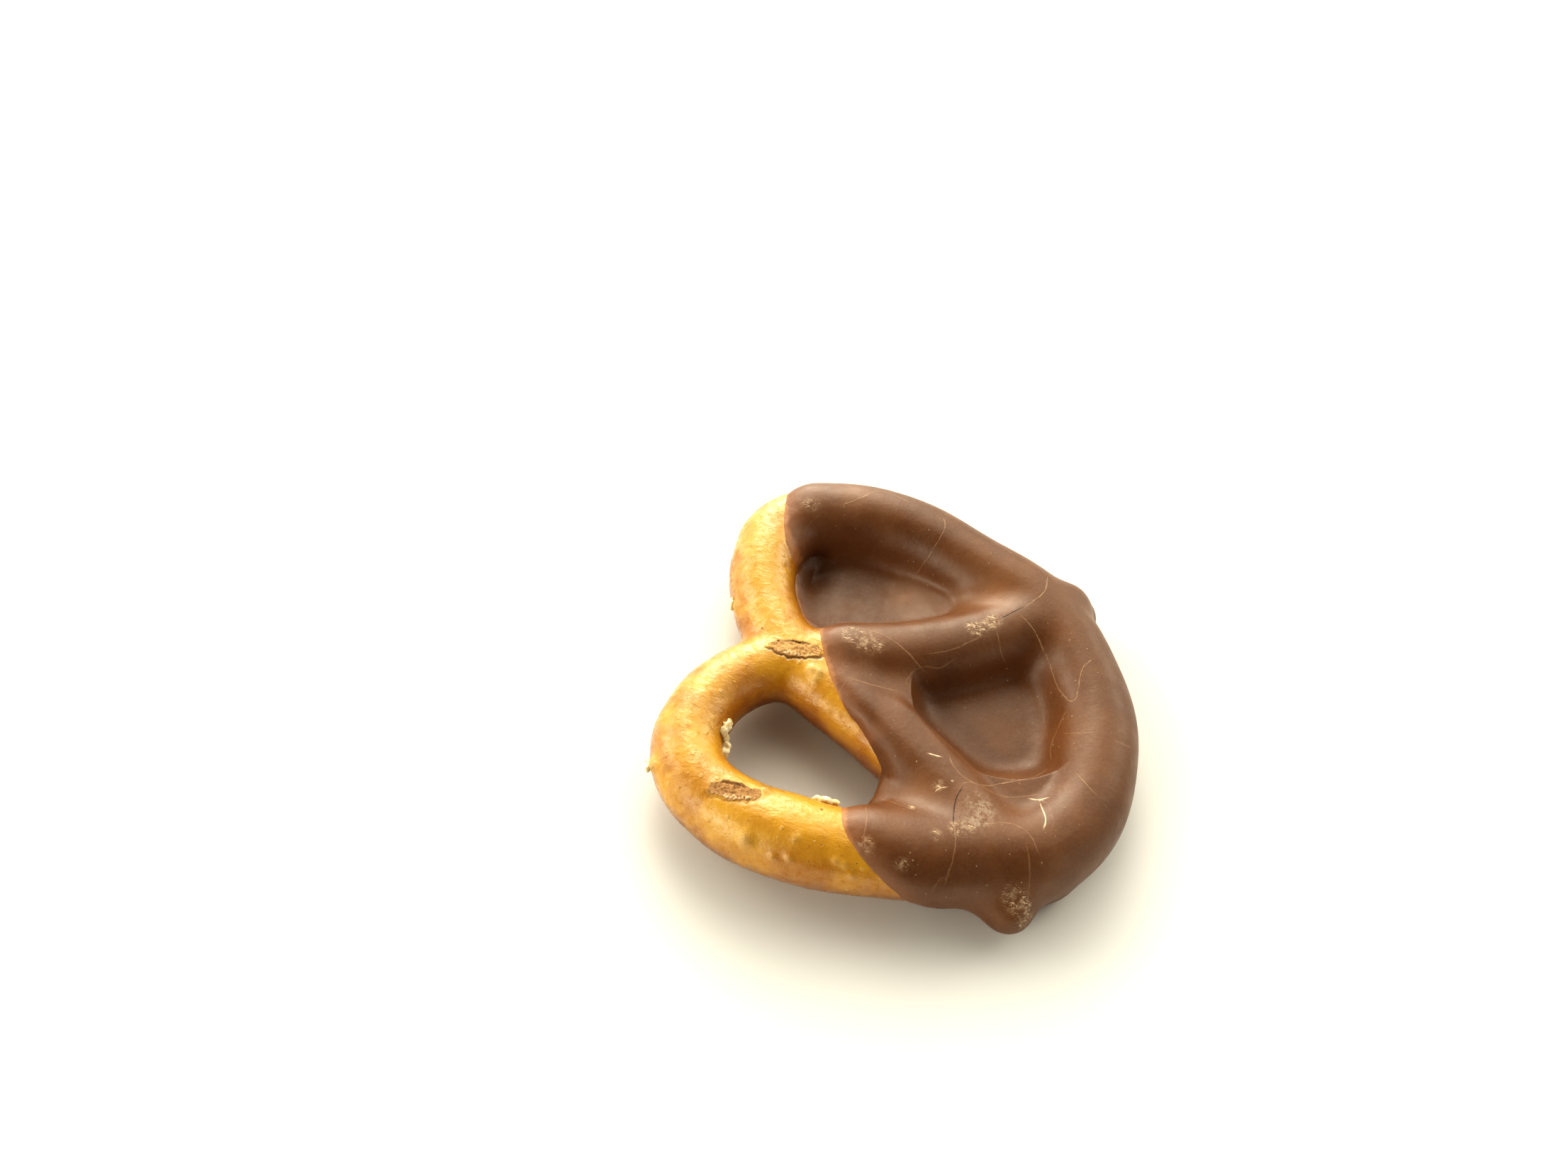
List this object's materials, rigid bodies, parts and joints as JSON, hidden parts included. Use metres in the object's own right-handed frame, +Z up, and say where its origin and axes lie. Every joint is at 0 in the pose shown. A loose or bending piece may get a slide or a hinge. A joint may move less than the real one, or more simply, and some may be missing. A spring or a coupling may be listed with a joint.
{
  "type": "chocolate covered pretzel",
  "caption": "Crunchy mini pretzel twist, half dipped in milk chocolate that fills its dipped holes, with coarse salt on the bare part.",
  "frame": {"origin": "under the middle of the bounding box, on the surface that the pretzel lies on", "axes": "+Z up; +X across the two lobes, from the bare lobe to the coated one; +Y from the round bend towards the lobes"},
  "size_m": [0.0409, 0.039, 0.0082],
  "materials": {
    "baked_dough": "glossy golden brown crust",
    "milk_chocolate": "satin milk chocolate"
  },
  "bodies": {
    "root": {"pretzel": "baked_dough", "chocolate_coating": "milk_chocolate"}
  },
  "joints": []
}
